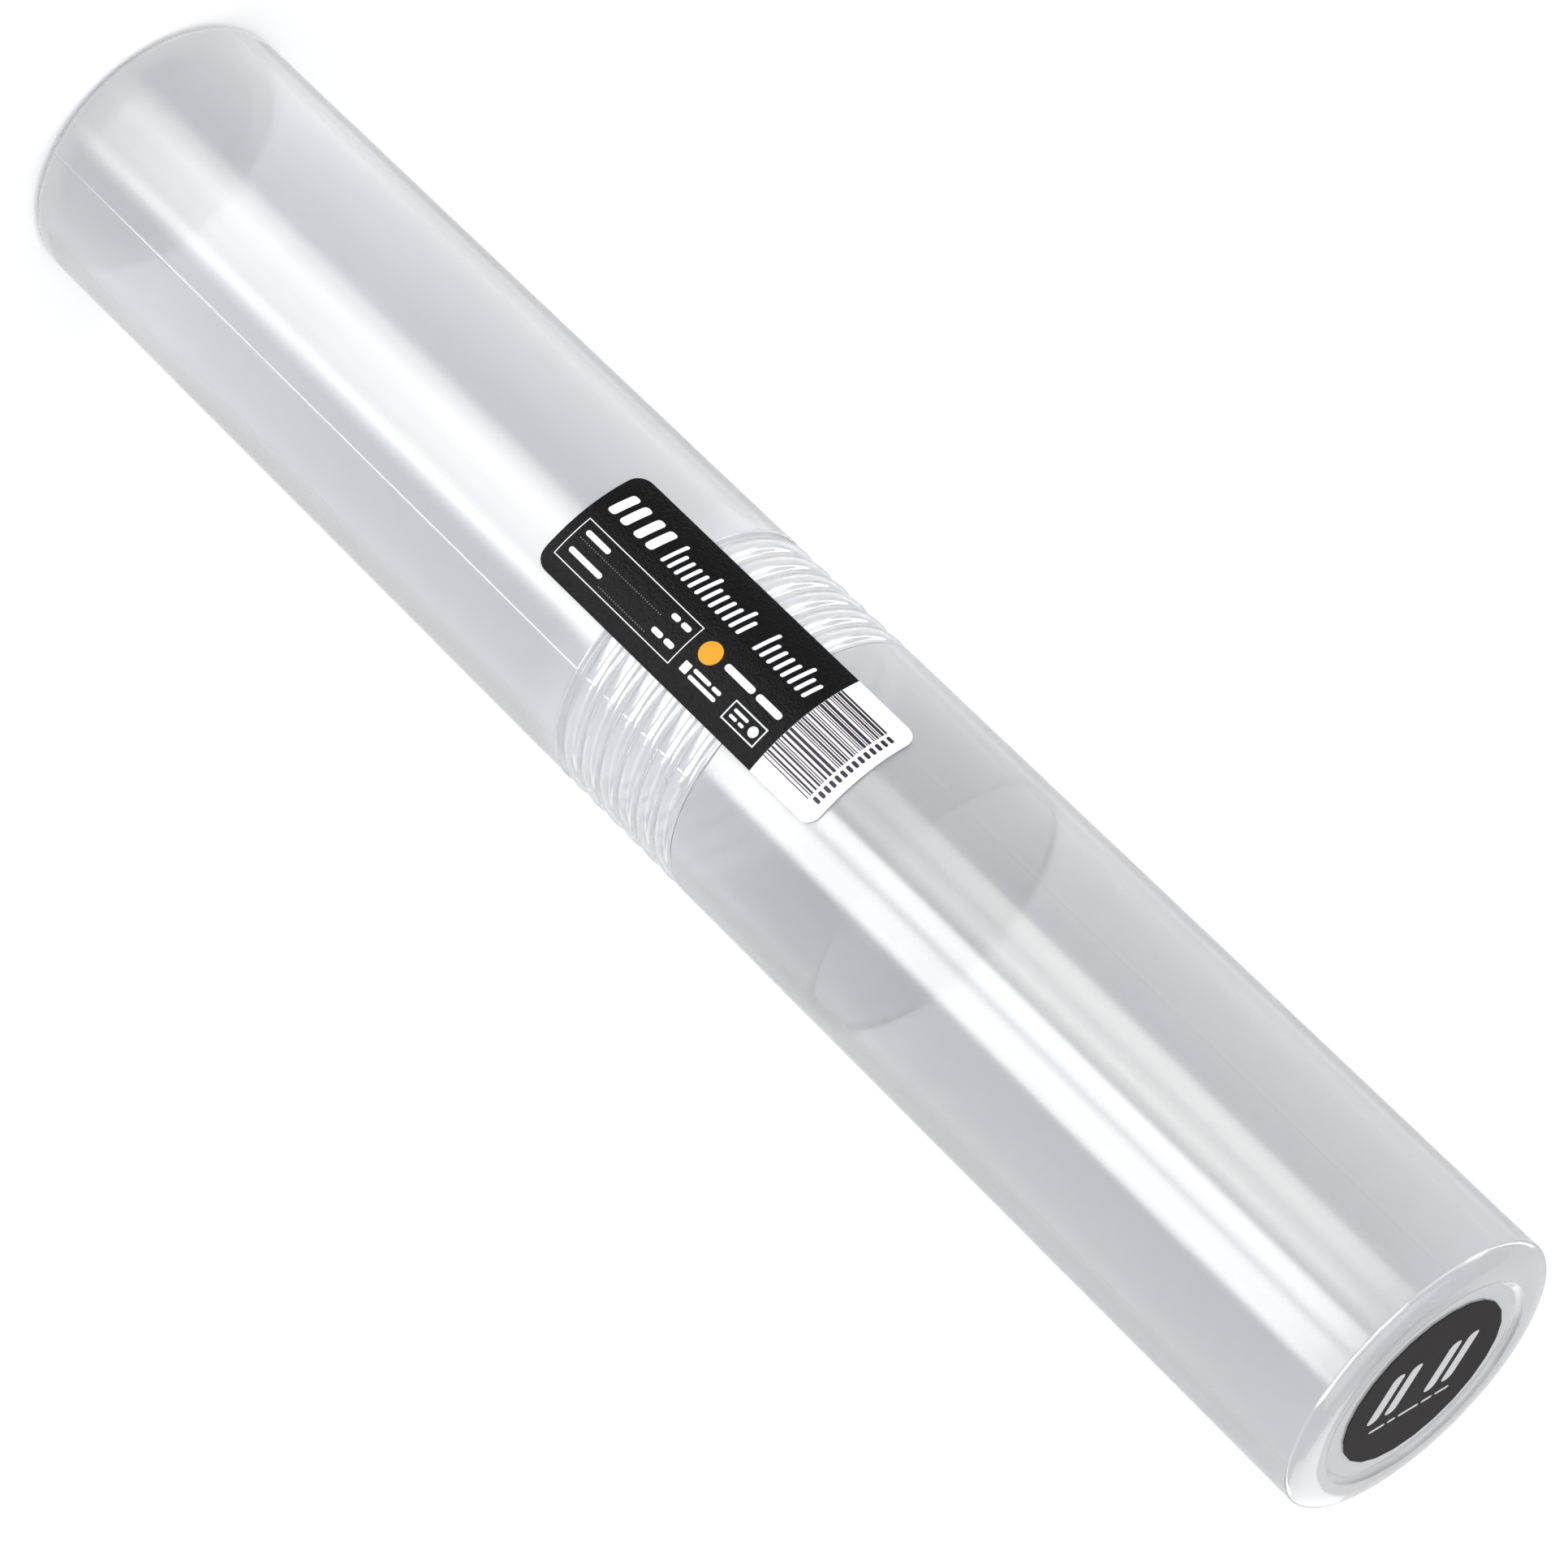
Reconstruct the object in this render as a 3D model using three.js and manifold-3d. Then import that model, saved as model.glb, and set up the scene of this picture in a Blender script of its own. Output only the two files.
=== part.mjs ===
// Poster storage tube: two blow-moulded halves of frosted plastic that push together.
// The lower half carries a collar of rounded rings, a thin ledge and a plain neck.
// The upper half is a sleeve that slides over the neck until its mouth meets the ledge.
// Millimetres, +Z up, origin at the middle of the base, front label facing -Y.

import * as THREE from 'three';
import Module from 'manifold-3d';
import { mergeVertices } from 'three/addons/utils/BufferGeometryUtils.js';

// Whole tube
const TUBE_LENGTH = 440;
const TUBE_DIAMETER = 73;
const WALL = 1;
const ROUND_SEGMENTS = 48;

// Sleeve and neck
const SLEEVE_LENGTH = 201;
const NECK_LENGTH = 48;
const NECK_CLEARANCE = 0.3;
const SEAT_GAP = 0.3;
const LEAD_IN_LENGTH = 1.6;
const LEAD_IN_DEPTH = 0.5;

// Collar
const RING_COUNT = 6;
const RING_PITCH = 6.36;
const GROOVE_WIDTH = 1.2;
const LEDGE_THICKNESS = 0.9;
const LEDGE_GROOVE = 0.8;
const LEDGE_DROP = 0.4;

// Base that the tube stands on
const BASE_CORNER_RADIUS = 2.7;
const BASE_RING_WIDTH = 5.6;
const END_RECESS = 1.1;
const RECESS_STEP = 1.3;

// Rounded top
const SHOULDER_WIDTH = 7.6;
const SHOULDER_DROP = 3.1;
const TOP_RIM_WIDTH = 1.2;

// Stickers
const STICKER_THICKNESS = 0.2;
const STICKER_GAP = 0.2;
const LABEL_LENGTH = 94.4;
const LABEL_WIDTH = 32.3;
const LABEL_CORNER_RADIUS = 3.7;
const LABEL_TAIL = 29.6;
const LABEL_SEGMENTS = 10;
const DISC_MARGIN = 4.2;

// Sizes that follow from the ones above
const outerRadius = TUBE_DIAMETER / 2;
const boreRadius = outerRadius - WALL;
const neckRadius = boreRadius - NECK_CLEARANCE;
const neckBoreRadius = neckRadius - WALL;
const ringHeight = outerRadius - neckRadius;
const ringHalfWidth = (RING_PITCH - GROOVE_WIDTH) / 2;
const mouthZ = TUBE_LENGTH - SLEEVE_LENGTH;
const seatZ = mouthZ - SEAT_GAP;
const neckTopZ = seatZ + NECK_LENGTH;
const ledgeZ = seatZ - LEDGE_THICKNESS;
const ringsTopZ = ledgeZ - LEDGE_GROOVE;
const collarZ = ringsTopZ - RING_COUNT * RING_PITCH;
const topPanelZ = TUBE_LENGTH - END_RECESS;
const topPanelRadius = outerRadius - SHOULDER_WIDTH - TOP_RIM_WIDTH - RECESS_STEP;

const wasm = await Module();
wasm.setup();

// A closed mesh as a solid that can be cut
function toSolid(geometry) {
  const bare = geometry.clone();
  bare.deleteAttribute('normal');
  bare.deleteAttribute('uv');
  const merged = mergeVertices(bare);
  return new wasm.Manifold(new wasm.Mesh({
    numProp: 3,
    vertProperties: new Float32Array(merged.attributes.position.array),
    triVerts: new Uint32Array(merged.index.array),
  }));
}

function toGeometry(solid) {
  const mesh = solid.getMesh();
  const geometry = new THREE.BufferGeometry();
  geometry.setAttribute('position', new THREE.BufferAttribute(mesh.vertProperties, 3));
  geometry.setIndex(new THREE.BufferAttribute(mesh.triVerts, 1));
  geometry.computeVertexNormals();
  return geometry;
}

// A profile of radius and height, turned about the Z axis
function turned(profile, curveSteps) {
  const geometry = new THREE.LatheGeometry(profile.getPoints(curveSteps), ROUND_SEGMENTS);
  return geometry.rotateX(Math.PI / 2);
}

// Middle height of one ring of the collar, counted from the bottom
function ringMiddle(index) {
  return collarZ + GROOVE_WIDTH + ringHalfWidth + index * RING_PITCH;
}

// Lower half: up the outside from the base, over the neck, down the inside
function lowerTubeProfile() {
  const cornerCentre = outerRadius - BASE_CORNER_RADIUS;
  const ringInner = cornerCentre - BASE_RING_WIDTH;
  const panelRadius = ringInner - RECESS_STEP;
  const profile = new THREE.Path();

  profile.moveTo(0, END_RECESS);
  profile.lineTo(panelRadius, END_RECESS);
  profile.lineTo(ringInner, 0);
  profile.lineTo(cornerCentre, 0);
  profile.absarc(cornerCentre, BASE_CORNER_RADIUS, BASE_CORNER_RADIUS, -Math.PI / 2, 0);

  profile.lineTo(outerRadius, collarZ);
  profile.lineTo(neckRadius, collarZ + GROOVE_WIDTH / 2);
  for (let ring = 0; ring < RING_COUNT; ring++) {
    const middle = ringMiddle(ring);
    profile.lineTo(neckRadius, middle - ringHalfWidth);
    profile.absellipse(neckRadius, middle, ringHeight, ringHalfWidth, -Math.PI / 2, Math.PI / 2);
  }

  profile.lineTo(neckRadius, ledgeZ);
  profile.lineTo(outerRadius - LEDGE_DROP, ledgeZ);
  profile.lineTo(outerRadius - LEDGE_DROP, seatZ);
  profile.lineTo(neckRadius, seatZ);
  profile.lineTo(neckRadius, neckTopZ - LEAD_IN_LENGTH);
  profile.lineTo(neckRadius - LEAD_IN_DEPTH, neckTopZ);
  profile.lineTo(neckBoreRadius, neckTopZ);

  // The blown wall keeps its thickness, so each ring is hollow behind
  for (let ring = RING_COUNT - 1; ring >= 0; ring--) {
    const middle = ringMiddle(ring);
    const hollow = ringHalfWidth - WALL;
    profile.lineTo(neckBoreRadius, middle + hollow);
    profile.absellipse(neckBoreRadius, middle, ringHeight, hollow, Math.PI / 2, -Math.PI / 2, true);
  }
  profile.lineTo(neckBoreRadius, collarZ);
  profile.lineTo(boreRadius, collarZ - WALL);
  profile.lineTo(boreRadius, BASE_CORNER_RADIUS);
  profile.absarc(cornerCentre, BASE_CORNER_RADIUS, BASE_CORNER_RADIUS - WALL, 0, -Math.PI / 2, true);
  profile.lineTo(ringInner, WALL);
  profile.lineTo(panelRadius, END_RECESS + WALL);
  profile.lineTo(0, END_RECESS + WALL);
  return profile;
}

// Upper half: out from the ceiling, down the bore, round the mouth, up and over the shoulder
function upperTubeProfile() {
  const shoulderCentre = outerRadius - SHOULDER_WIDTH;
  const shoulderZ = TUBE_LENGTH - SHOULDER_DROP;
  const rimInner = shoulderCentre - TOP_RIM_WIDTH;
  const profile = new THREE.Path();

  profile.moveTo(0, topPanelZ - WALL);
  profile.lineTo(topPanelRadius, topPanelZ - WALL);
  profile.lineTo(rimInner, TUBE_LENGTH - WALL);
  profile.lineTo(shoulderCentre, TUBE_LENGTH - WALL);
  profile.absellipse(shoulderCentre, shoulderZ, SHOULDER_WIDTH - WALL, SHOULDER_DROP - WALL,
    Math.PI / 2, 0, true);

  profile.lineTo(boreRadius, mouthZ);
  profile.lineTo(outerRadius, mouthZ);
  profile.lineTo(outerRadius, shoulderZ);

  profile.absellipse(shoulderCentre, shoulderZ, SHOULDER_WIDTH, SHOULDER_DROP, 0, Math.PI / 2);
  profile.lineTo(rimInner, TUBE_LENGTH);
  profile.lineTo(topPanelRadius, topPanelZ);
  profile.lineTo(0, topPanelZ);
  return profile;
}

// Rectangle with round corners, centred on the origin
function roundedRectangle(width, height, corner) {
  const x = width / 2 - corner;
  const y = height / 2 - corner;
  const shape = new THREE.Shape();
  shape.absarc(x, y, corner, 0, Math.PI / 2);
  shape.absarc(-x, y, corner, Math.PI / 2, Math.PI);
  shape.absarc(-x, -y, corner, Math.PI, Math.PI * 1.5);
  shape.absarc(x, -y, corner, Math.PI * 1.5, Math.PI * 2);
  shape.closePath();
  return shape;
}

// Front label: a curved sheet round the tube, trimmed by a plate with the label's outline
function frontLabelGeometry() {
  const inner = outerRadius + STICKER_GAP;
  const outer = inner + STICKER_THICKNESS;
  const facing = -Math.PI / 2;
  const trim = LABEL_CORNER_RADIUS;
  const halfAngle = (LABEL_WIDTH / 2 + trim) / outer;
  const middleZ = mouthZ + LABEL_TAIL - LABEL_LENGTH / 2;

  const section = new THREE.Shape();
  section.absarc(0, 0, outer, facing - halfAngle, facing + halfAngle, false);
  section.absarc(0, 0, inner, facing + halfAngle, facing - halfAngle, true);
  section.closePath();
  const sheet = new THREE.ExtrudeGeometry(section, {
    depth: LABEL_LENGTH + 2 * trim,
    curveSegments: LABEL_SEGMENTS / 2,
    bevelEnabled: false,
  });
  sheet.translate(0, 0, middleZ - LABEL_LENGTH / 2 - trim);

  const flatWidth = 2 * outer * Math.sin(LABEL_WIDTH / 2 / outer);
  const plate = new THREE.ExtrudeGeometry(
    roundedRectangle(flatWidth, LABEL_LENGTH, LABEL_CORNER_RADIUS),
    { depth: 2 * outer, curveSegments: 3, bevelEnabled: false },
  );
  plate.rotateX(Math.PI / 2);
  plate.translate(0, 0, middleZ);
  return toGeometry(toSolid(sheet).intersect(toSolid(plate)));
}

// Round sticker that lies in the recess of the top
function endLabelGeometry() {
  const radius = topPanelRadius - DISC_MARGIN;
  const disc = new THREE.CylinderGeometry(radius, radius, STICKER_THICKNESS, ROUND_SEGMENTS);
  disc.rotateX(Math.PI / 2);
  return disc.translate(0, 0, topPanelZ + STICKER_GAP + STICKER_THICKNESS / 2);
}

const frosted = new THREE.MeshStandardMaterial({
  color: 0xdcdfe1, roughness: 0.45, metalness: 0, transparent: true, opacity: 0.7,
});
const blackPrint = new THREE.MeshStandardMaterial({ color: 0x151515, roughness: 0.35, metalness: 0 });

function addPiece(group, name, geometry, material) {
  const mesh = new THREE.Mesh(geometry, material);
  mesh.name = name;
  group.add(mesh);
}

const RING_CURVE_STEPS = 2;
const SHOULDER_CURVE_STEPS = 3;

const lowerHalf = new THREE.Group();
addPiece(lowerHalf, 'lower_tube', turned(lowerTubeProfile(), RING_CURVE_STEPS), frosted);
addPiece(lowerHalf, 'front_label', frontLabelGeometry(), blackPrint);

const upperHalf = new THREE.Group();
addPiece(upperHalf, 'upper_tube', turned(upperTubeProfile(), SHOULDER_CURVE_STEPS), frosted);
addPiece(upperHalf, 'end_label', endLabelGeometry(), blackPrint);

const posterTube = new THREE.Group();
posterTube.add(lowerHalf, upperHalf);

export default posterTube;
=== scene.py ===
"""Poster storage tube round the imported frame: frosted plastic halves, stickers, studio floor and light."""
import math
import random

import bpy
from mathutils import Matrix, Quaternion, Vector


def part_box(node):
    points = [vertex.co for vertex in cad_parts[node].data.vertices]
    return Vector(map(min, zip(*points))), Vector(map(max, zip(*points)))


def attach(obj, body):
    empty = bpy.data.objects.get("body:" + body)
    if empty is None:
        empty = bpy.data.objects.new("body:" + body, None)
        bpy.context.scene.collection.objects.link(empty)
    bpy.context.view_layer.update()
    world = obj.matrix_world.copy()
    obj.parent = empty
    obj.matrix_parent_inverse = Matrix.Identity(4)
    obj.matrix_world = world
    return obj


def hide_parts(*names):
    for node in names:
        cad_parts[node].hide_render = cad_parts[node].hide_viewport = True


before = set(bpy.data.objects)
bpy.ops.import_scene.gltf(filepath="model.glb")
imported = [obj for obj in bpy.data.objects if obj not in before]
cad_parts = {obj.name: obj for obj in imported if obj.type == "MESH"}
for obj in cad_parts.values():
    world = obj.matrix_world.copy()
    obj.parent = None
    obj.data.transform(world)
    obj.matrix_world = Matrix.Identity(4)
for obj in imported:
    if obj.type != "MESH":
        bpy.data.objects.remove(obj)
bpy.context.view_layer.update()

MM = 0.001

# Camera of the photograph, in millimetres and degrees
CAMERA_PLACE = (278.3, -1103.9, 812.7)
CAMERA_AIM = (3.84, 0.95, 238.5)
CAMERA_ROLL = 134.35
CAMERA_LENS = 132.73

# Sizes that the frame gives
lower_low, lower_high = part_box("lower_tube")
upper_low, upper_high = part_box("upper_tube")
label_low, label_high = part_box("front_label")
disc_low, disc_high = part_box("end_label")
RADIUS = upper_high.x / MM
TOP = upper_high.z / MM
MOUTH = upper_low.z / MM
NECK_TOP = lower_high.z / MM
LABEL_BOTTOM = label_low.z / MM
LABEL_TOP = label_high.z / MM
DISC_RADIUS = disc_high.x / MM
DISC_FACE = disc_high.z / MM

# Sizes of the blown wall, as in the frame's own model
WALL = 1.0
NECK_CLEARANCE = 0.3
SEAT_GAP = 0.3
RING_COUNT = 6
RING_PITCH = 6.36
GROOVE_WIDTH = 1.2
LEDGE_THICKNESS = 0.9
LEDGE_GROOVE = 0.8
LEDGE_DROP = 0.4
BASE_CORNER = 2.7
BASE_RING = 5.6
END_RECESS = 1.1
RECESS_STEP = 1.3
SHOULDER_WIDTH = 7.6
SHOULDER_DROP = 3.1
TOP_RIM = 1.2
LEAD_IN_LENGTH = 1.6
LEAD_IN_DEPTH = 0.5

# Fillets of the blown wall: at the end recess, at its rim, at sharp edges, at creases and at the mouth
RECESS_FILLET = 0.8
RIM_FILLET = 0.6
EDGE_FILLET = 0.15
CREASE_FILLET = 0.5
MOUTH_FILLET = 0.45

BORE = RADIUS - WALL
NECK = BORE - NECK_CLEARANCE
NECK_BORE = NECK - WALL
SEAT = MOUTH - SEAT_GAP
RINGS_TOP = SEAT - LEDGE_THICKNESS - LEDGE_GROOVE
COLLAR = RINGS_TOP - RING_COUNT * RING_PITCH
RING_HALF = (RING_PITCH - GROOVE_WIDTH) / 2
RING_HEIGHT = RADIUS - NECK

# Shape of a ring: roundness of its crest and flanks, and the blend at its foot
RING_CREST = 2.3
RING_FLANK = 0.72
RING_BLEND = 0.4
OUTSIDE_ROW_STEP = 0.22
INSIDE_ROW_STEP = 0.35

# Angles round the tube, in degrees: the camera stands at CAMERA_SIDE, the front label faces -Y
CAMERA_SIDE = math.degrees(math.atan2(CAMERA_PLACE[1], CAMERA_PLACE[0]))
LABEL_SIDE = -90.0
PARTING_SIDE = CAMERA_SIDE + 28.8
SLEEVE_PARTING_SIDE = CAMERA_SIDE - 31.6

# Fine ridge that the mould leaves along each parting line, and the columns round the wall
WALL_COLUMNS = 180
RIDGE_HALF = 0.4
RIDGE_CLEAR = 0.8
RIDGE_HEIGHT = 0.13
SLEEVE_RIDGE_HEIGHT = 0.04

# Print of the stickers
LABEL_WIDTH = 32.3
LABEL_CORNER = 3.7
FILM = 0.2
STICKER_GAP = 0.2
INK = 0.02


# Profiles

# A row this close to each end of a bend keeps the bend's shading off the straight wall
GUARD = 0.05


def elliptic(radius, height, half_width, half_height, start, end, steps):
    """Points of a stretch of an ellipse, from one angle to another in degrees."""
    points = []
    for i in range(steps + 1):
        turn = math.radians(start + (end - start) * i / steps)
        points.append((radius + half_width * math.cos(turn), height + half_height * math.sin(turn)))
    return points


def softened(corners, steps=4):
    """A profile from (radius, height, fillet) corners. Each fillet is an arc between two guard rows."""
    points = []
    for i, (r, z, fillet) in enumerate(corners):
        if not fillet or i in (0, len(corners) - 1):
            points.append((r, z))
            continue
        here = Vector((r, z))
        before = (Vector(corners[i - 1][:2]) - here).normalized()
        after = (Vector(corners[i + 1][:2]) - here).normalized()
        half = before.angle(after) / 2
        centre = here + (before + after).normalized() * (fillet / math.sin(half))
        reach = fillet / math.tan(half)
        first = here + before * reach - centre
        last = here + after * reach - centre
        points.append(tuple(centre + first + before * GUARD))
        for step in range(steps + 1):
            arm = first.slerp(last, step / steps).normalized() * fillet
            points.append(tuple(centre + arm))
        points.append(tuple(centre + last + after * GUARD))
    return points


def swell(height, half_width):
    """How far the collar's wall stands out at a height: a row of round rings with grooves between."""
    first = COLLAR + GROOVE_WIDTH + RING_HALF
    ring = min(max(round((height - first) / RING_PITCH), 0), RING_COUNT - 1)
    reach = min(1.0, abs(height - first - ring * RING_PITCH) / half_width)
    return RING_HEIGHT * (1 - reach ** RING_CREST) ** RING_FLANK


def rings(start, end, radius, half_width, step):
    """Rows of the collar's wall, with the foot of each ring blended into its groove."""
    count = round(abs(end - start) / step)
    rows = []
    for i in range(count + 1):
        height = start + (end - start) * i / count
        near = [swell(height + shift * RING_BLEND / 3, half_width) for shift in range(-3, 4)]
        rows.append((radius + sum(near) / len(near), height))
    return rows


def lower_profile():
    """Up the outside of the lower half, over its neck and down the inside."""
    standing = RADIUS - BASE_CORNER
    ring_inner = standing - BASE_RING
    panel = ring_inner - RECESS_STEP
    points = softened([
        (0, END_RECESS, 0),
        (panel, END_RECESS, RECESS_FILLET),
        (ring_inner, 0, RIM_FILLET),
        (standing, 0, 0),
    ])
    points += elliptic(standing, BASE_CORNER, BASE_CORNER, BASE_CORNER, -90, 0, 10)
    points += softened([
        (RADIUS, BASE_CORNER + GUARD, 0),
        (RADIUS, COLLAR, CREASE_FILLET),
        (NECK, COLLAR + CREASE_FILLET, 0.3),
        (NECK, COLLAR + GROOVE_WIDTH / 2, 0),
    ])
    points += rings(COLLAR + GROOVE_WIDTH / 2, RINGS_TOP + RING_BLEND, NECK, RING_HALF, OUTSIDE_ROW_STEP)
    ledge = RADIUS - LEDGE_DROP
    points += softened([
        (NECK, RINGS_TOP + RING_BLEND, 0),
        (NECK, SEAT - LEDGE_THICKNESS, EDGE_FILLET),
        (ledge, SEAT - LEDGE_THICKNESS, 0.25),
        (ledge, SEAT, EDGE_FILLET),
        (NECK, SEAT, 0.2),
        (NECK, NECK_TOP - LEAD_IN_LENGTH, RECESS_FILLET),
        (NECK - LEAD_IN_DEPTH, NECK_TOP, EDGE_FILLET),
        (NECK_BORE, NECK_TOP, EDGE_FILLET),
        (NECK_BORE, RINGS_TOP, 0),
    ])
    points += rings(RINGS_TOP, COLLAR + GROOVE_WIDTH, NECK_BORE, RING_HALF - WALL / 2, INSIDE_ROW_STEP)
    points += softened([
        (NECK_BORE, COLLAR + GROOVE_WIDTH, 0),
        (NECK_BORE, COLLAR - 0.2, CREASE_FILLET),
        (BORE, COLLAR - WALL, CREASE_FILLET),
        (BORE, BASE_CORNER + GUARD, 0),
    ])
    points += elliptic(standing, BASE_CORNER, BASE_CORNER - WALL, BASE_CORNER - WALL, 0, -90, 8)
    points += softened([
        (standing - 1, WALL, 0),
        (ring_inner, WALL, RIM_FILLET),
        (panel, END_RECESS + WALL, RECESS_FILLET),
        (0, END_RECESS + WALL, 0),
    ])
    return points


def upper_profile():
    """Out from the ceiling of the sleeve, down its bore, round the mouth and up to the top."""
    shoulder = RADIUS - SHOULDER_WIDTH
    bend = TOP - SHOULDER_DROP
    rim = shoulder - TOP_RIM
    panel = rim - RECESS_STEP
    points = softened([
        (0, TOP - END_RECESS - WALL, 0),
        (panel, TOP - END_RECESS - WALL, RECESS_FILLET),
        (rim, TOP - WALL, RIM_FILLET),
        (shoulder, TOP - WALL, 0),
    ])
    points += elliptic(shoulder, bend, SHOULDER_WIDTH - WALL, SHOULDER_DROP - WALL, 90, 0, 12)
    points += softened([
        (BORE, bend - GUARD, 0),
        (BORE, MOUTH, 0.3),
        (RADIUS, MOUTH, MOUTH_FILLET),
        (RADIUS, bend - GUARD, 0),
    ])
    points += elliptic(shoulder, bend, SHOULDER_WIDTH, SHOULDER_DROP, 0, 90, 20)
    points += softened([
        (shoulder - 0.1, TOP, 0),
        (rim, TOP, CREASE_FILLET),
        (panel, TOP - END_RECESS, CREASE_FILLET),
        (0, TOP - END_RECESS, 0),
    ])
    return points


# Meshes

def make_object(name, vertices, faces, material, smooth_angle=40):
    """Mesh object from vertices in millimetres, smooth but for edges sharper than an angle in degrees."""
    mesh = bpy.data.meshes.new(name)
    mesh.from_pydata([Vector(v) * MM for v in vertices], [], faces)
    mesh.validate()
    mesh.shade_smooth()
    mesh.set_sharp_from_angle(angle=math.radians(smooth_angle))
    mesh.materials.append(material)
    obj = bpy.data.objects.new(name, mesh)
    bpy.context.scene.collection.objects.link(obj)
    return obj


def columns_round(parting_side, ridge_height):
    """(angle, lift) of each column of a turned mesh, with a ridge on the parting line and opposite it."""
    parting_sides = (parting_side, parting_side + 180)
    columns = []
    for i in range(WALL_COLUMNS):
        angle = 360 * i / WALL_COLUMNS
        gaps = [abs((angle - side + 180) % 360 - 180) for side in parting_sides]
        if min(gaps) > RIDGE_CLEAR:
            columns.append((angle, 0.0))
    for side in parting_sides:
        columns.append(((side - RIDGE_HALF) % 360, 0.0))
        columns.append((side % 360, ridge_height))
        columns.append(((side + RIDGE_HALF) % 360, 0.0))
    return sorted(columns)


def turned(name, profile, columns, material):
    """Profile turned about the tube's axis, from axis to axis. The ridges stay out of the grooves."""
    rows = [p for i, p in enumerate(profile) if i == 0 or math.dist(p, profile[i - 1]) > 1e-4]
    vertices = []
    index = []
    for i, (r, z) in enumerate(rows):
        if i in (0, len(rows) - 1):
            index.append([len(vertices)] * len(columns))
            vertices.append((0, 0, z))
            continue
        index.append(range(len(vertices), len(vertices) + len(columns)))
        for angle, lift in columns:
            reach = r + lift * max(0, (r - NECK) / RING_HEIGHT) ** 3
            turn = math.radians(angle)
            vertices.append((reach * math.cos(turn), reach * math.sin(turn), z))
    faces = []
    for below, above in zip(index, index[1:]):
        for j in range(len(columns)):
            k = (j + 1) % len(columns)
            corners = [below[j], below[k], above[k], above[j]]
            faces.append(tuple(dict.fromkeys(corners)))
    return make_object(name, vertices, faces, material)


def on_tube(along, down, lift):
    """A place on the front label: along it from its lower end, down from its top edge, off the wall."""
    start = math.radians(LABEL_SIDE) - LABEL_WIDTH / 2 / (RADIUS + STICKER_GAP + FILM)
    turn = start + down / (RADIUS + STICKER_GAP + FILM)
    reach = RADIUS + STICKER_GAP + lift
    return (reach * math.cos(turn), reach * math.sin(turn), LABEL_BOTTOM + along)


# Direction that the print on the end sticker runs in
END_PRINT_SIDE = CAMERA_SIDE + 230


def on_end(along, down, lift):
    """A place on the end sticker, from its centre."""
    read = math.radians(END_PRINT_SIDE)
    x = along * math.cos(read) + down * math.sin(read)
    y = along * math.sin(read) - down * math.cos(read)
    return (x, y, DISC_FACE - FILM + lift)


class Ink:
    """Collects flat closed shapes of one colour that follow a surface."""

    def __init__(self, place):
        self.place = place
        self.vertices = []
        self.faces = []

    def shape(self, spans, low, high):
        """Closed slab from (down, along start, along end) spans, between two heights off the surface."""
        first = len(self.vertices)
        for down, start, end in spans:
            for along, lift in ((start, low), (end, low), (end, high), (start, high)):
                self.vertices.append(self.place(along, down, lift))
        last = first + 4 * (len(spans) - 1)
        self.faces.append((first, first + 1, first + 2, first + 3))
        self.faces.append((last + 3, last + 2, last + 1, last))
        for row in range(first, last, 4):
            for side in range(4):
                turn = (side + 1) % 4
                self.faces.append((row + side, row + 4 + side, row + 4 + turn, row + turn))

    def block(self, along, down, corner=0.0, low=FILM, high=FILM + INK, slant=0.0, square_start=False):
        """Rectangle with round corners. slant shifts it along as it goes up."""
        (left, right), (top, bottom) = along, down
        marks = {top, bottom, top + corner, bottom - corner}
        bend = 6
        for step in range(1, bend):
            drop = corner * (1 - math.cos(math.pi / 2 * step / bend))
            marks |= {top + drop, bottom - drop}
        count = max(1, round((bottom - top - 2 * corner) / 0.8))
        for step in range(1, count):
            marks.add(top + corner + (bottom - top - 2 * corner) * step / count)
        spans = []
        kept = []
        for mark in sorted(marks):
            if not kept or mark - kept[-1] > 1e-3:
                kept.append(mark)
        for mark in kept:
            depth = max(0.0, corner - (mark - top), corner - (bottom - mark))
            inset = corner - math.sqrt(max(0.0, corner ** 2 - depth ** 2))
            inset = min(inset, (right - left) / 2 - 0.01)
            shift = slant * (bottom - mark)
            spans.append((mark, left + (0 if square_start else inset) + shift, right - inset + shift))
        self.shape(spans, low, high)

    def frame(self, along, down, line, **kw):
        """Outline of a rectangle."""
        (left, right), (top, bottom) = along, down
        self.block((left, right), (top, top + line), **kw)
        self.block((left, right), (bottom - line, bottom), **kw)
        self.block((left, left + line), (top + line, bottom - line), **kw)
        self.block((right - line, right), (top + line, bottom - line), **kw)

    def words(self, along, down, lengths, gap):
        """A line of print as plain rounded strokes, whose lengths are shares of the room."""
        (left, right), (top, bottom) = along, down
        scale = (right - left - gap * (len(lengths) - 1)) / sum(lengths)
        for length in lengths:
            self.block((left, left + length * scale), (top, bottom), corner=(bottom - top) / 2)
            left += length * scale + gap

    def build(self, name, material):
        return make_object(name, self.vertices, self.faces, material, smooth_angle=30)


# Materials

def new_material(name):
    """Material with its node tree and its shader."""
    material = bpy.data.materials.new(name)
    material.use_nodes = True
    tree = material.node_tree
    return material, tree, tree.nodes["Principled BSDF"]


def link(tree, source, target):
    tree.links.new(source, target)


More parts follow.
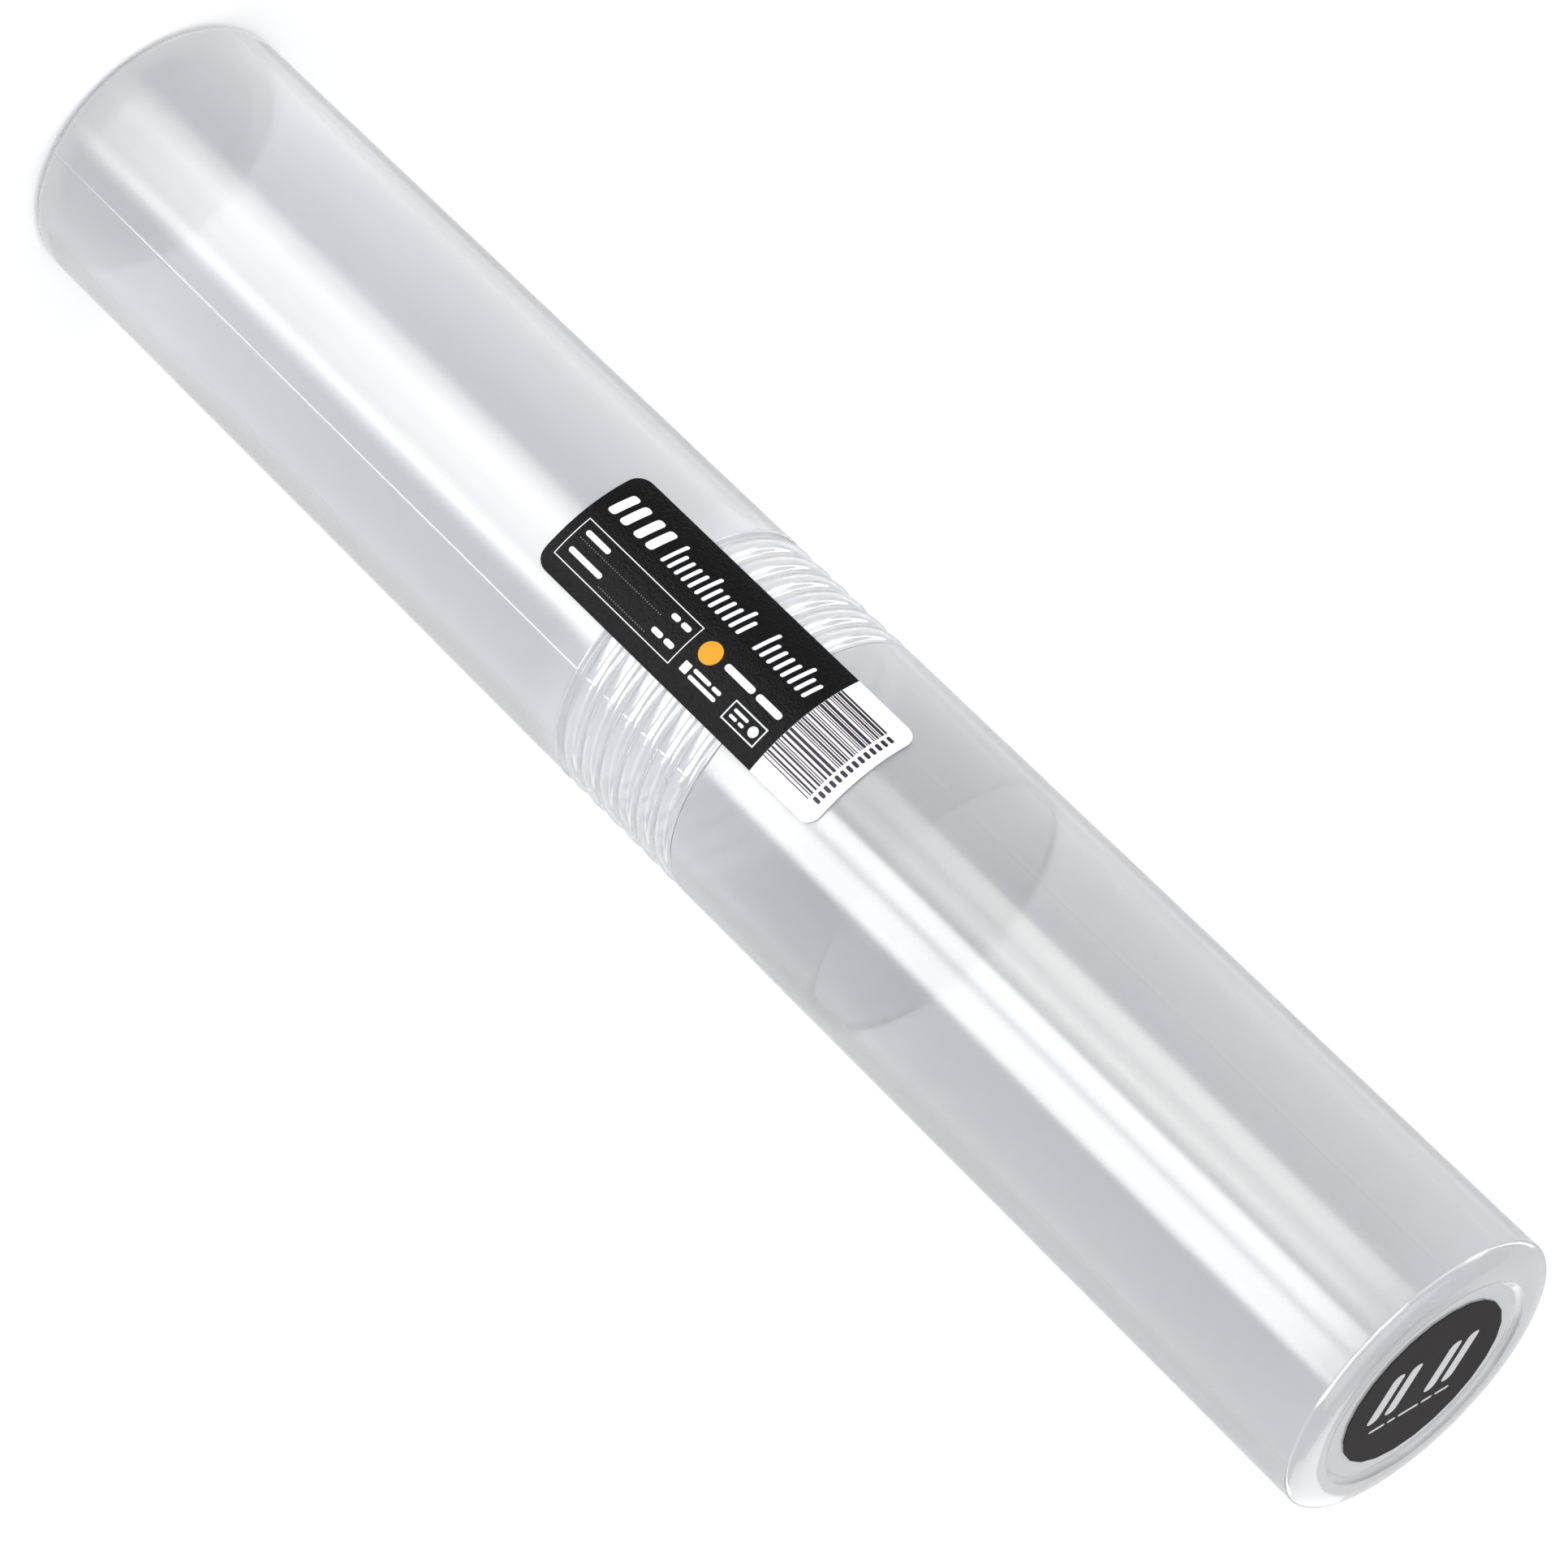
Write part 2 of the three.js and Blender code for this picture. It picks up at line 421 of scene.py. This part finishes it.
def noise(tree, coordinates, stretch, scale, detail=3.0, roughness=0.5):
    """Noise in the object's own coordinates, stretched by a factor along each axis."""
    mapping = tree.nodes.new("ShaderNodeMapping")
    mapping.inputs["Scale"].default_value = stretch
    link(tree, coordinates, mapping.inputs["Vector"])
    texture = tree.nodes.new("ShaderNodeTexNoise")
    texture.inputs["Scale"].default_value = scale
    texture.inputs["Detail"].default_value = detail
    texture.inputs["Roughness"].default_value = roughness
    link(tree, mapping.outputs["Vector"], texture.inputs["Vector"])
    return texture.outputs["Fac"]


def remap(tree, value, low, high, end=1.0):
    """Value from 0 to end, spread from low to high."""
    node = tree.nodes.new("ShaderNodeMapRange")
    node.inputs["From Max"].default_value = end
    node.inputs["To Min"].default_value = low
    node.inputs["To Max"].default_value = high
    link(tree, value, node.inputs["Value"])
    return node.outputs["Result"]


def mixed_colour(tree, factor, first, second):
    """Colour between two others."""
    node = tree.nodes.new("ShaderNodeMix")
    node.data_type = "RGBA"
    node.inputs["A"].default_value = (*first, 1)
    node.inputs["B"].default_value = (*second, 1)
    link(tree, factor, node.inputs["Factor"])
    return node.outputs["Result"]


def bump(tree, height, distance, strength=1.0, normal=None):
    """Relief of a height, distance in metres, on top of an earlier relief."""
    node = tree.nodes.new("ShaderNodeBump")
    node.inputs["Distance"].default_value = distance
    node.inputs["Strength"].default_value = strength
    link(tree, height, node.inputs["Height"])
    if normal is not None:
        link(tree, normal, node.inputs["Normal"])
    return node.outputs["Normal"]


def object_coordinates(tree):
    return tree.nodes.new("ShaderNodeTexCoord").outputs["Object"]


def painted_light_tone(tree, coordinates, stops):
    """Painted light and shade on the blown wall from (height, tone) stops: its colour is made paler or
    darker by height to stand in for how the light falls.
    """
    parts = tree.nodes.new("ShaderNodeSeparateXYZ")
    link(tree, coordinates, parts.inputs["Vector"])
    ramp = tree.nodes.new("ShaderNodeValToRGB")
    ramp.color_ramp.interpolation = "EASE"
    marks = ramp.color_ramp.elements
    while len(marks) < len(stops):
        marks.new(0.5)
    for mark, (height, tone) in zip(marks, stops):
        mark.position = height / TOP
        mark.color = (tone * 0.985, tone, tone * 1.015, 1)
    link(tree, remap(tree, parts.outputs["Z"], 0, 1, end=TOP * MM), ramp.inputs["Fac"])
    return ramp.outputs["Color"]


# Share of the light that goes through the plastic, and its index of refraction
CLEARNESS = 0.7
PLASTIC_IOR = 1.49


def frosted_plastic(name, stops):
    """Milky blown plastic that lets part of the light through, with soft die streaks, a fine frost and
    painted light and shade by height in its colour.
    """
    material, tree, shader = new_material(name)
    place = object_coordinates(tree)
    clouds = noise(tree, place, (1, 1, 0.35), 14, detail=2)
    cloudy = mixed_colour(tree, clouds, (0.96, 0.96, 0.96), (1.0, 1.0, 1.0))
    tint = tree.nodes.new("ShaderNodeMix")
    tint.data_type = "RGBA"
    tint.blend_type = "MULTIPLY"
    tint.inputs["Factor"].default_value = 1
    # The wall's colour carries painted light and shade by height
    link(tree, painted_light_tone(tree, place, stops), tint.inputs["A"])
    link(tree, cloudy, tint.inputs["B"])
    link(tree, tint.outputs["Result"], shader.inputs["Base Color"])
    streaks = noise(tree, place, (1, 1, 0.02), 90, detail=3)
    waves = noise(tree, place, (1, 1, 0.12), 22, detail=1)
    frost = noise(tree, place, (1, 1, 1), 2600, detail=1)
    normal = bump(tree, waves, 0.0004)
    normal = bump(tree, streaks, 0.00008, normal=normal)
    normal = bump(tree, frost, 0.00001, strength=0.5, normal=normal)
    link(tree, normal, shader.inputs["Normal"])
    link(tree, remap(tree, streaks, 0.06, 0.1), shader.inputs["Roughness"])
    shader.inputs["IOR"].default_value = PLASTIC_IOR
    shader.inputs["Transmission Weight"].default_value = CLEARNESS
    return material


def printed_film(name, colour, tint, roughness, shine, grain=0.000012):
    """Ink on sticker film, with the fine orange peel of a laminated face."""
    material, tree, shader = new_material(name)
    place = object_coordinates(tree)
    peel = noise(tree, place, (1, 1, 1), 1300, detail=2, roughness=0.7)
    tone = noise(tree, place, (1, 1, 1), 60, detail=2)
    link(tree, mixed_colour(tree, tone, colour, tint), shader.inputs["Base Color"])
    link(tree, bump(tree, peel, grain), shader.inputs["Normal"])
    link(tree, remap(tree, peel, roughness - 0.05, roughness + 0.08), shader.inputs["Roughness"])
    shader.inputs["Specular IOR Level"].default_value = shine
    return material


def floor_material():
    """Matt pale paper with a faint glow of its own, so that it stays near white behind the part."""
    material, tree, shader = new_material("pale_floor")
    place = object_coordinates(tree)
    tone = noise(tree, place, (1, 1, 1), 3, detail=2)
    pale = mixed_colour(tree, tone, (0.93, 0.935, 0.94), (0.95, 0.955, 0.96))
    link(tree, pale, shader.inputs["Base Color"])
    shader.inputs["Roughness"].default_value = 0.9
    shader.inputs["Specular IOR Level"].default_value = 0
    shader.inputs["Emission Color"].default_value = (1, 1, 1, 1)
    shader.inputs["Emission Strength"].default_value = 0.12
    return material


# Pieces

# Painted light and shade by height on the wall's colour: the base, the collar and the two walls at the joint
# are painted palest, and the sleeve darker towards its top
LOWER_PAINTED_LIGHT = [(0, 1.0), (30, 1.0), (80, 0.9), (185, 0.88), (203, 1.0), (NECK_TOP, 1.0)]
SLEEVE_PAINTED_LIGHT = [(MOUTH, 0.95), (290, 0.9), (325, 0.84), (TOP, 0.84)]


def add_tubes():
    """The two blown halves."""
    lower_columns = columns_round(PARTING_SIDE, RIDGE_HEIGHT)
    lower_plastic = frosted_plastic("frosted_lower", LOWER_PAINTED_LIGHT)
    lower = turned("lower_shell", lower_profile(), lower_columns, lower_plastic)
    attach(lower, "lower_half")
    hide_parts("lower_tube")

    sleeve_columns = columns_round(SLEEVE_PARTING_SIDE, SLEEVE_RIDGE_HEIGHT)
    sleeve_plastic = frosted_plastic("frosted_sleeve", SLEEVE_PAINTED_LIGHT)
    upper = turned("sleeve_shell", upper_profile(), sleeve_columns, sleeve_plastic)
    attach(upper, "upper_half")
    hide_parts("upper_tube")


def add_piece(ink, name, material, body):
    """Sticker piece that rides on a body."""
    piece = ink.build(name, material)
    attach(piece, body)
    return piece


# Layout of the front sticker's print, in millimetres along it and down from its top edge
WHITE_START = 74.4
WHITE_OVERLAP = 0.02
HEADING = (5.6, 12.8)
HEADING_SLANT = 0.15
BOLD_STARTS = (3.2, 7.3, 12.0, 16.1)
BOLD_WIDTH = 2.5
BOLD_CORNER = 0.9
THIN_RUNS = ((21.6, 12), (53.2, 8))
THIN_WIDTH = 1.05
THIN_STEP = 2.35
THIN_CORNER = 0.5
THIN_DROP = 1.9
TALL_EVERY = 5

# Thin frames: along, down and line width
FRAMES = (
    ((2.5, 42.3), (16.9, 28.1), 0.25),
    ((60.5, 71.3), (23.2, 28.4), 0.35),
)

# Lines of small print: along, down, shares of the strokes and gap between them
SMALL_PRINT = (
    ((4.6, 12.6), (18.9, 20.3), (1.0,), 0.8),
    ((34.4, 40.6), (18.9, 20.3), (0.7, 0.8), 0.8),
    ((4.6, 15.6), (24.1, 25.5), (1.0,), 0.8),
    ((33.4, 40.6), (24.1, 25.5), (0.9, 0.8), 0.8),
    ((52.6, 71.2), (18.6, 20.4), (1.2, 1.0), 1.0),
    ((48.0, 57.0), (24.5, 25.5), (1.0, 0.5), 0.6),
    ((48.0, 57.0), (26.3, 27.3), (1.0,), 0.6),
    ((61.8, 66.4), (24.6, 25.4), (1.0,), 0.6),
    ((61.8, 66.4), (26.2, 27.0), (1.0, 0.7), 0.6),
)

# Small marks: along, down and corner
LIGHT_MARKS = (
    ((45.0, 47.2), (24.6, 27.2), 0.3),
    ((67.6, 70.2), (24.5, 27.1), 1.3),
)
COLOUR_DOT = ((45.0, 50.8), (17.0, 22.8), 2.9)

# Dotted rules inside the large frame: down and where each starts
DOTTED_RULES = ((21.9, 4.6), (27.0, 16.6))
RULE_END = 33
DOT_LENGTH = 0.28
DOT_STEP = 0.75

# Bars and dashes on the white end
BARS_ALONG = (WHITE_START + 0.05, 89.4)
BARS_DOWN = (4.9, 27.6)
BAR_WIDTHS = (0.24, 0.24, 0.48, 0.72)
BAR_GAPS = (0.26, 0.3, 0.5, 0.62)
DASHES_ALONG = (90.2, 92.2)
DASHES_DOWN = (5.2, 27.4)
DASH_WIDTH = 0.9
DASH_STEP = 1.62


def heading(light):
    """Heading of plain slanted strokes: four bold ones, then two runs of thin ones."""
    top, bottom = HEADING
    for left in BOLD_STARTS:
        light.block((left, left + BOLD_WIDTH), HEADING, corner=BOLD_CORNER, slant=HEADING_SLANT)
    for start, count in THIN_RUNS:
        for turn in range(count):
            left = start + turn * THIN_STEP
            drop = 0 if turn % TALL_EVERY == 0 else THIN_DROP
            along = (left, left + THIN_WIDTH)
            light.block(along, (top + drop, bottom), corner=THIN_CORNER, slant=HEADING_SLANT)


def bars_and_dashes(bars):
    """Upright bars of mixed widths over a row of dashes, on top of the white end."""
    level = {"low": FILM + INK, "high": FILM + 2 * INK}
    chance = random.Random(7)
    down, end = BARS_DOWN
    while down < end:
        width = chance.choice(BAR_WIDTHS)
        bars.block(BARS_ALONG, (down, down + width), **level)
        down += width + chance.choice(BAR_GAPS)
    down, end = DASHES_DOWN
    while down < end:
        bars.block(DASHES_ALONG, (down, down + DASH_WIDTH), corner=0.4, **level)
        down += DASH_STEP


def add_front_label(black, white, orange, dark, grey):
    """Sticker along the tube: black field, white end, and generic print in plain shapes."""
    length = LABEL_TOP - LABEL_BOTTOM
    film = Ink(on_tube)
    film.block((0, length), (0, LABEL_WIDTH), corner=LABEL_CORNER, low=0, high=FILM)
    piece = add_piece(film, "front_film", black, "lower_half")
    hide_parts("front_label")

    light = Ink(on_tube)
    light.block((WHITE_START, length + WHITE_OVERLAP), (-WHITE_OVERLAP, LABEL_WIDTH + WHITE_OVERLAP),
                corner=LABEL_CORNER, low=WHITE_OVERLAP, square_start=True)
    heading(light)
    for along, down, line in FRAMES:
        light.frame(along, down, line)
    for along, down, lengths, gap in SMALL_PRINT:
        light.words(along, down, lengths, gap)
    for along, down, corner in LIGHT_MARKS:
        light.block(along, down, corner=corner)
    add_piece(light, "front_light_print", white, "lower_half")

    rules = Ink(on_tube)
    for down, start in DOTTED_RULES:
        dot = start
        while dot < RULE_END:
            rules.block((dot, dot + DOT_LENGTH), (down - 0.5, down - 0.25))
            dot += DOT_STEP
    add_piece(rules, "front_dotted_rules", grey, "lower_half")

    mark = Ink(on_tube)
    along, down, corner = COLOUR_DOT
    mark.block(along, down, corner=corner)
    add_piece(mark, "front_colour_dot", orange, "lower_half")

    bars = Ink(on_tube)
    bars_and_dashes(bars)
    add_piece(bars, "front_dark_print", dark, "lower_half")


# Print of the end sticker, from its centre
END_STROKES = (-15.5, -10.2, 1.5, 6.8)
END_STROKE_WIDTH = 3.3
END_STROKE_DOWN = (-8.5, 5.0)
END_STROKE_SLANT = 0.3
END_LINE = ((-13.0, 11.0), (8.0, 8.8), (1.0, 0.5, 1.3, 0.7, 0.9), 0.9)


def add_end_label(black, pale):
    """Round sticker in the recess of the top, with plain slanted strokes over a thin broken line."""
    film = Ink(on_end)
    across = (-DISC_RADIUS, DISC_RADIUS)
    film.block(across, across, corner=DISC_RADIUS, low=0, high=FILM)
    piece = add_piece(film, "end_film", black, "upper_half")
    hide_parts("end_label")
    print_ink = Ink(on_end)
    for left in END_STROKES:
        along = (left, left + END_STROKE_WIDTH)
        print_ink.block(along, END_STROKE_DOWN, corner=1.4, slant=END_STROKE_SLANT)
    along, down, lengths, gap = END_LINE
    print_ink.words(along, down, lengths, gap)
    add_piece(print_ink, "end_print", pale, "upper_half")


# Studio

# Height of the glowing sheets over the floor, and the glow at which they look like the floor
SHEET_HEIGHT = 3.0
FLOOR_GLOW = 1.0
FLOOR_HALF = 20000

# Bands that show along the wall: (angle from the camera's side, glow)
LOW_BANDS = [(-66, 1.0), (-58, 2.0), (-34, 1.2), (-22, 0.1), (-16, 0.2), (-14, 2.3), (-12, 5.1), (-8, 8.2),
             (-4, 11), (0, 9.6), (3, 8.6), (6, 8.7), (10, 7.4), (12, 8.2), (14, 11), (16, 10), (18, 4.3),
             (20, 1.6), (22, 0.1), (30, 0.3), (50, 1.0)]
LOW_STRENGTH = [(2.5, 0.0), (10, 0.5), (45, 0.85), (90, 0.85), (135, 1.05), (169, 1.08), (RINGS_TOP, 1.08)]
CREAM_BANDS = [(-66, 1.0), (-58, 1.6), (-34, 0.9), (-22, 0.1), (-20, 1.6), (-18, 6.6), (-15, 7.8),
               (-12, 7.2), (-9.5, 5.0), (-6.5, 6.4), (-4, 8.4), (-2, 5.2), (0, 2.8), (1, 3.3)]
CREAM_STRENGTH = [(MOUTH, 0.4), (281, 0.5), (320, 0.95), (371, 1.0), (416, 0.9), (TOP - 2, 0.8)]
WHITE_BANDS = [(1, 3.3), (2.5, 12), (4, 13), (7, 13), (8, 11), (10, 6.8), (12, 10), (13, 12), (20, 12),
               (21.5, 7.8), (23, 1.3), (24, 0.1), (32, 0.3), (52, 1.0)]
WHITE_STRENGTH = [(MOUTH, 1.0), (281, 1.05), (320, 1.0), (400, 1.0), (TOP - 2, 0.9)]
LEFT_EDGE = [(-84, 1.0), (-80, 0.65), (-73, 0.6), (-69, 1.0)]
RIGHT_EDGE = [(57, 1.0), (63, 0.7), (73, 0.75), (80, 0.8), (84, 1.0)]
CREAM = (1.0, 0.96, 0.88)

# Soft boxes: place, aim, size in metres and power
LIGHTS = {
    "overhead": ((0.2, -0.3, 2.4), (0, 0, 0.2), (2.2, 2.2), 20),
    "left_box": ((-1.85, -0.5, 0.8), (0, 0, 0.25), (0.7, 1.6), 12),
    "right_box": ((1.6, -0.7, 0.9), (0, 0, 0.25), (0.4, 1.6), 6),
    "back_box": ((0.3, 1.8, 1.0), (0, 0, 0.25), (1.2, 1.4), 6),
}

# Standing screens: sides as angles from the camera's side, heights, glow and distance
SCREENS = {
    "screen_front": ((-28, 60), (300, 2400), 11, 2500),
    "screen_left": ((60, 105), (300, 2000), 1.6, 2500),
    "screen_right": ((-100, -28), (300, 2000), 3, 2500),
    "screen_back": ((105, 260), (300, 2000), 0.95, 2500),
    "line_right": ((-150, -28), (650, 950), 11, 2400),
    "line_left": ((60, 150), (650, 950), 4.5, 2400),
}


def area_light(name, place, aim, size, power):
    """Soft box that the camera doesn't see."""
    data = bpy.data.lights.new(name, "AREA")
    data.shape = "RECTANGLE"
    data.size, data.size_y = size
    data.energy = power
    obj = bpy.data.objects.new(name, data)
    obj.location = place
    obj.rotation_euler = (Vector(aim) - Vector(place)).to_track_quat("-Z", "Y").to_euler()
    obj.visible_camera = False
    bpy.context.scene.collection.objects.link(obj)


def mirrored_on_floor(side, height):
    """Where the floor shows in the wall, for the camera: side is the angle from the camera's own side."""
    turn = math.radians(CAMERA_SIDE + side)
    outward = Vector((math.cos(turn), math.sin(turn), 0))
    spot = outward * RADIUS + Vector((0, 0, height))
    sight = (spot - Vector(CAMERA_PLACE)).normalized()
    bounce = sight.reflect(outward)
    return spot + bounce * ((SHEET_HEIGHT - height) / bounce.z)


def glowing(name, colour=(1, 1, 1), glow=None):
    """Plain light. Its strength is one number, or else the mesh's own glow attribute."""
    material = bpy.data.materials.new(name)
    material.use_nodes = True
    material.cycles.emission_sampling = "NONE"
    tree = material.node_tree
    tree.nodes.clear()
    emission = tree.nodes.new("ShaderNodeEmission")
    emission.inputs["Color"].default_value = (*colour, 1)
    if glow is None:
        attribute = tree.nodes.new("ShaderNodeAttribute")
        attribute.attribute_name = "glow"
        link(tree, attribute.outputs["Fac"], emission.inputs["Strength"])
    else:
        emission.inputs["Strength"].default_value = glow
    output = tree.nodes.new("ShaderNodeOutputMaterial")
    link(tree, emission.outputs["Emission"], output.inputs["Surface"])
    return material


def only_in_reflections(obj):
    """Stage piece that shows in glossy reflections and nowhere else."""
    obj.visible_camera = False
    obj.visible_diffuse = False
    obj.visible_transmission = False
    obj.visible_volume_scatter = False
    obj.visible_shadow = False


def between(stops, value):
    """Value of a row of (place, value) stops at one place, in straight stretches."""
    for (left, low), (right, high) in zip(stops, stops[1:]):
        if value <= right:
            return low + (high - low) * (value - left) / (right - left)
    return stops[-1][1]


def reflector_sheet(name, across, along, colour=(1, 1, 1), rows=24):
    """Glowing sheet low over the floor that only reflections see. It draws soft bands along the wall.

    across has (angle, glow) stops and along has (height, strength) stops.
    At strength 0 the sheet glows like the floor.
    """
    start, end = along[0][0], along[-1][0]
    vertices = []
    glows = []
    for row in range(rows + 1):
        height = start + (end - start) * row / rows
        strength = between(along, height)
        for side, glow in across:
            vertices.append(mirrored_on_floor(side, height))
            glows.append(FLOOR_GLOW + (glow - FLOOR_GLOW) * strength)
    width = len(across)
    faces = []
    for row in range(rows):
        for column in range(width - 1):
            first = row * width + column
            faces.append((first, first + 1, first + 1 + width, first + width))
    obj = make_object(name, vertices, faces, glowing(name, colour))
    obj.data.attributes.new("glow", "FLOAT", "POINT").data.foreach_set("value", glows)
    only_in_reflections(obj)


def standing_screen(name, sides, heights, glow, distance, steps=8):
    """Glowing screen that stands round the tube, for the bends that face up and down."""
    material = glowing(name, glow=glow)
    vertices = []
    for i in range(steps + 1):
        turn = math.radians(CAMERA_SIDE + sides[0] + (sides[1] - sides[0]) * i / steps)
        vertices += [(distance * math.cos(turn), distance * math.sin(turn), height) for height in heights]
    faces = [(2 * i, 2 * i + 1, 2 * i + 3, 2 * i + 2) for i in range(steps)]
    only_in_reflections(make_object(name, vertices, faces, material))


def add_studio():
    """Pale sky and floor, soft boxes, and the sheets and screens that the plastic reflects."""
    scene = bpy.context.scene
    world = bpy.data.worlds.new("studio")
    world.use_nodes = True
    sky = world.node_tree.nodes["Background"]
    sky.inputs["Color"].default_value = (0.95, 0.97, 1.0, 1)
    sky.inputs["Strength"].default_value = 0.66
    scene.world = world
    scene.view_settings.view_transform = "Standard"

    half = FLOOR_HALF
    corners = [(-half, -half, 0), (half, -half, 0), (half, half, 0), (-half, half, 0)]
    floor = make_object("floor", corners, [(0, 1, 2, 3)], floor_material())

    for name, (place, aim, size, power) in LIGHTS.items():
        area_light(name, place, aim, size, power)
    for name, (sides, heights, glow, distance) in SCREENS.items():
        standing_screen(name, sides, heights, glow, distance)
    reflector_sheet("low_bands", LOW_BANDS, LOW_STRENGTH)
    reflector_sheet("high_cream_bands", CREAM_BANDS, CREAM_STRENGTH, CREAM)
    reflector_sheet("high_white_bands", WHITE_BANDS, WHITE_STRENGTH)
    low = [(6, 1), (RINGS_TOP, 1)]
    high = [(MOUTH, 1), (TOP - 2, 1)]
    for name, edge in (("left", LEFT_EDGE), ("right", RIGHT_EDGE)):
        reflector_sheet(f"low_{name}_edge", edge, low)
        reflector_sheet(f"high_{name}_edge", edge, high)


def add_camera():
    """The photograph's own viewpoint."""
    data = bpy.data.cameras.new("camera")
    data.lens = CAMERA_LENS
    data.sensor_width = 36
    data.clip_end = 100
    camera = bpy.data.objects.new("camera", data)
    place = Vector(CAMERA_PLACE) * MM
    aim = Vector(CAMERA_AIM) * MM
    camera.location = place
    level = (aim - place).to_track_quat("-Z", "Y")
    camera.rotation_euler = (level @ Quaternion((0, 0, 1), math.radians(CAMERA_ROLL))).to_euler()
    bpy.context.scene.collection.objects.link(camera)
    bpy.context.scene.camera = camera


# Films and inks: colour, its other tone, roughness, shine and, where it isn't the usual one, grain
INKS = {
    "film_black": ((0.0025, 0.0025, 0.003), (0.0035, 0.0035, 0.004), 0.36, 0.045, 0.0003),
    "film_end": ((0.014, 0.012, 0.012), (0.018, 0.016, 0.016), 0.5, 0.03),
    "ink_pale": ((0.5, 0.5, 0.51), (0.56, 0.56, 0.57), 0.5, 0.1),
    "ink_white": ((0.92, 0.92, 0.93), (0.95, 0.95, 0.95), 0.45, 0.2),
    "ink_orange": ((0.93, 0.36, 0.02), (0.95, 0.40, 0.03), 0.45, 0.2),
    "ink_dark": ((0.02, 0.012, 0.025), (0.03, 0.02, 0.035), 0.45, 0.15),
    "ink_grey": ((0.16, 0.16, 0.16), (0.2, 0.2, 0.2), 0.45, 0.15),
}

add_camera()
add_studio()
add_tubes()
inks = {name: printed_film(name, *look) for name, look in INKS.items()}
add_front_label(inks["film_black"], inks["ink_white"], inks["ink_orange"], inks["ink_dark"],
                inks["ink_grey"])
add_end_label(inks["film_end"], inks["ink_pale"])
